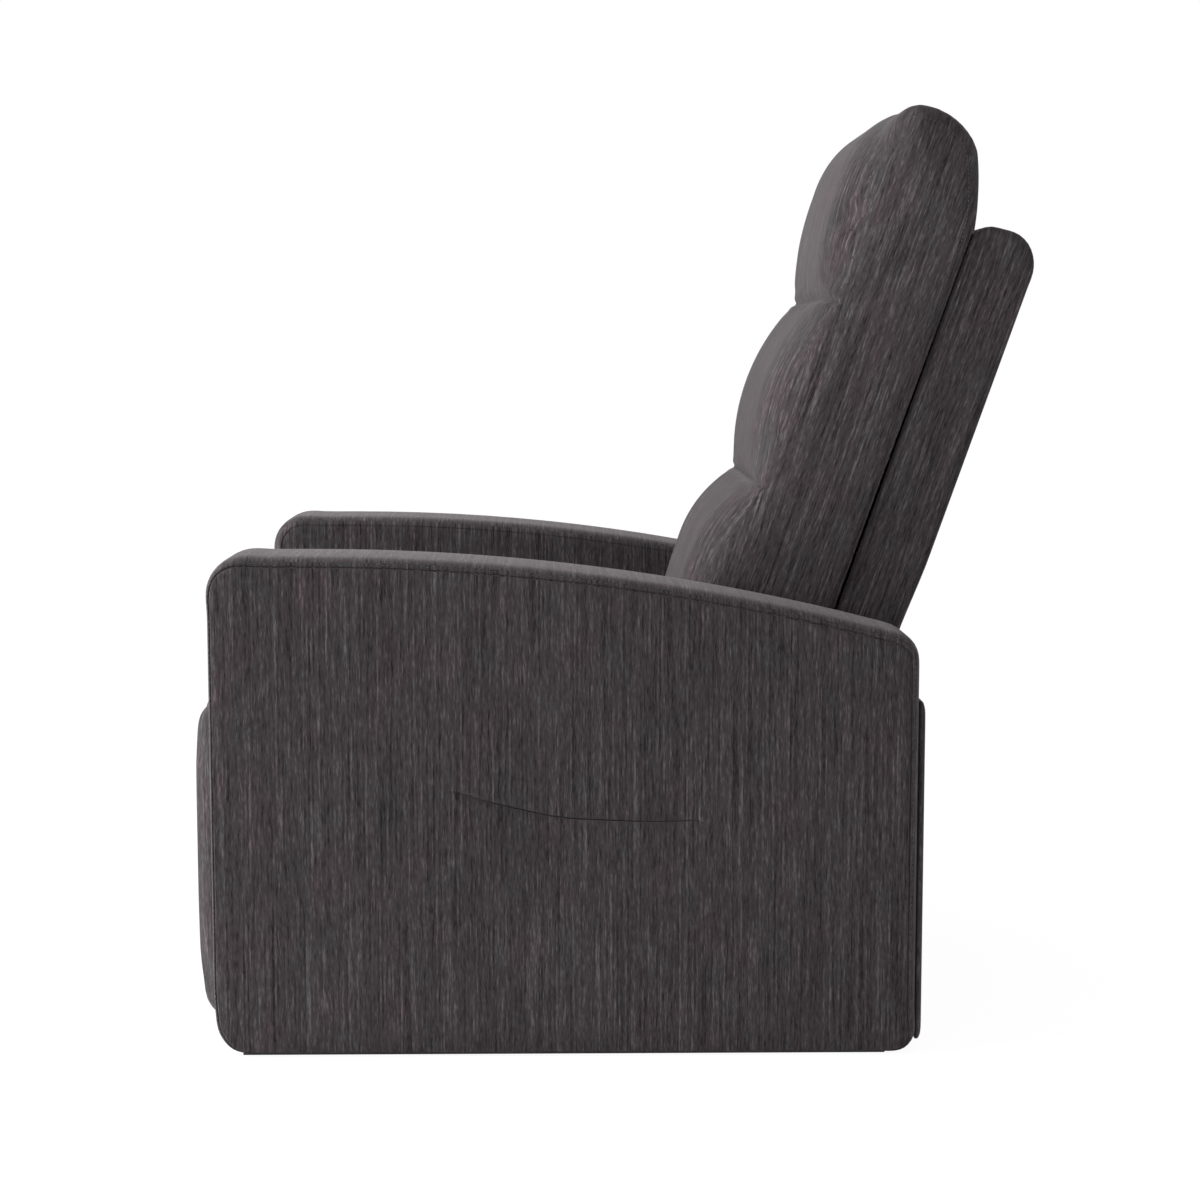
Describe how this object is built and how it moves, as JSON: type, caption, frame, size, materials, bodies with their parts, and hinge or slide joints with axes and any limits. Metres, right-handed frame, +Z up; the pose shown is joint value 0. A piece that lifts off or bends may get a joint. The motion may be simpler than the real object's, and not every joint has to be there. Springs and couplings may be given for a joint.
{
  "type": "recliner armchair",
  "caption": "Upholstered recliner armchair with a tall channelled back, rounded track arms, a seat cushion and a lever-driven swing-out footrest.",
  "frame": {"origin": "on the floor, under the centre of the overall box at rest (footrest closed, back upright)", "axes": "+Z up; -Y is the chair's front, where the footrest swings out; +X is the sitter's left"},
  "size_m": [0.7534, 0.95, 1.0453],
  "materials": {
    "upholstery_fabric": "matte",
    "frame_timber": "matte",
    "frame_plywood": "matte",
    "elastic_webbing": "matte",
    "mechanism_steel": "satin",
    "zinc_plated_steel": "satin",
    "spring_steel": "satin",
    "black_plastic": "matte",
    "nylon": "matte"
  },
  "bodies": {
    "base": {"left_arm_cover": "upholstery_fabric", "right_arm_cover": "upholstery_fabric", "left_arm_frame": "frame_timber", "right_arm_frame": "frame_timber", "left_side_board": "frame_plywood", "right_side_board": "frame_plywood", "left_arm_inner_pad": "upholstery_fabric", "right_arm_inner_pad": "upholstery_fabric", "left_glide_strip": "black_plastic", "right_glide_strip": "black_plastic", "side_pocket": "upholstery_fabric", "front_base_rail": "frame_timber", "rear_base_rail": "frame_timber", "rear_top_rail": "frame_timber", "outside_back_panel": "upholstery_fabric", "seat_frame": "frame_timber", "seat_cushion": "upholstery_fabric", "seat_frame_brackets": "zinc_plated_steel", "seat_springs": "spring_steel", "spring_clips": "zinc_plated_steel", "left_mechanism_plate": "mechanism_steel", "right_mechanism_plate": "mechanism_steel", "front_pivot_pins": "zinc_plated_steel", "tube_bushes": "nylon", "plate_bolts": "zinc_plated_steel", "lever_escutcheon": "black_plastic", "left_hinge_plate": "mechanism_steel", "right_hinge_plate": "mechanism_steel", "back_hinge_pins": "zinc_plated_steel"},
    "drive": {"torque_tube": "mechanism_steel", "left_crank": "mechanism_steel", "right_crank": "mechanism_steel", "lever_blade": "mechanism_steel", "lever_grip": "black_plastic"},
    "drag_links": {"left_drag_link": "mechanism_steel", "right_drag_link": "mechanism_steel"},
    "rear_links": {"left_rear_link": "mechanism_steel", "right_rear_link": "mechanism_steel"},
    "long_links": {"left_long_link": "mechanism_steel", "right_long_link": "mechanism_steel"},
    "control_links": {"left_control_link": "mechanism_steel", "right_control_link": "mechanism_steel"},
    "footrest": {"left_footrest_bracket": "mechanism_steel", "right_footrest_bracket": "mechanism_steel", "footrest_board": "frame_plywood", "footrest_pad": "upholstery_fabric", "bracket_screws": "zinc_plated_steel"},
    "back": {"left_back_bracket": "mechanism_steel", "right_back_bracket": "mechanism_steel", "back_frame": "frame_timber", "back_webbing": "elastic_webbing", "back_shell": "upholstery_fabric", "back_pillow": "upholstery_fabric"}
  },
  "joints": [
    {"name": "lever_turn", "type": "hinge", "parent": "base", "child": "drive", "pos_m": [0.01175, -0.15, 0.245], "axis": [1, 0, 0], "range_deg": [-90, 0]},
    {"name": "drag_link_pivot", "type": "hinge", "parent": "drive", "child": "drag_links", "pos_m": [0.01175, -0.18535, 0.28036], "axis": [1, 0, 0], "range_deg": [0, 90]},
    {"name": "rear_link_pivot", "type": "hinge", "parent": "base", "child": "rear_links", "pos_m": [0.01175, -0.365, 0.215], "axis": [1, 0, 0], "range_deg": [-90, 0]},
    {"name": "long_link_pivot", "type": "hinge", "parent": "rear_links", "child": "long_links", "pos_m": [0.01175, -0.34134, 0.04665], "axis": [1, 0, 0], "range_deg": [0, 180]},
    {"name": "control_link_pivot", "type": "hinge", "parent": "rear_links", "child": "control_links", "pos_m": [0.01175, -0.34969, 0.10607], "axis": [1, 0, 0], "range_deg": [0, 180]},
    {"name": "footrest_pivot", "type": "hinge", "parent": "long_links", "child": "footrest", "pos_m": [0.01175, -0.2986, 0.23178], "axis": [1, 0, 0], "range_deg": [-180, 0]},
    {"name": "back_recline", "type": "hinge", "parent": "base", "child": "back", "pos_m": [0.01175, 0.265, 0.406], "axis": [1, 0, 0], "range_deg": [-32, 0]}
  ],
  "couplings": [
    {"joint": "drag_link_pivot", "follows": "lever_turn", "ratio": -1},
    {"joint": "rear_link_pivot", "follows": "lever_turn", "ratio": 1},
    {"joint": "long_link_pivot", "follows": "lever_turn", "ratio": -2},
    {"joint": "control_link_pivot", "follows": "lever_turn", "ratio": -2},
    {"joint": "footrest_pivot", "follows": "lever_turn", "ratio": 2}
  ]
}
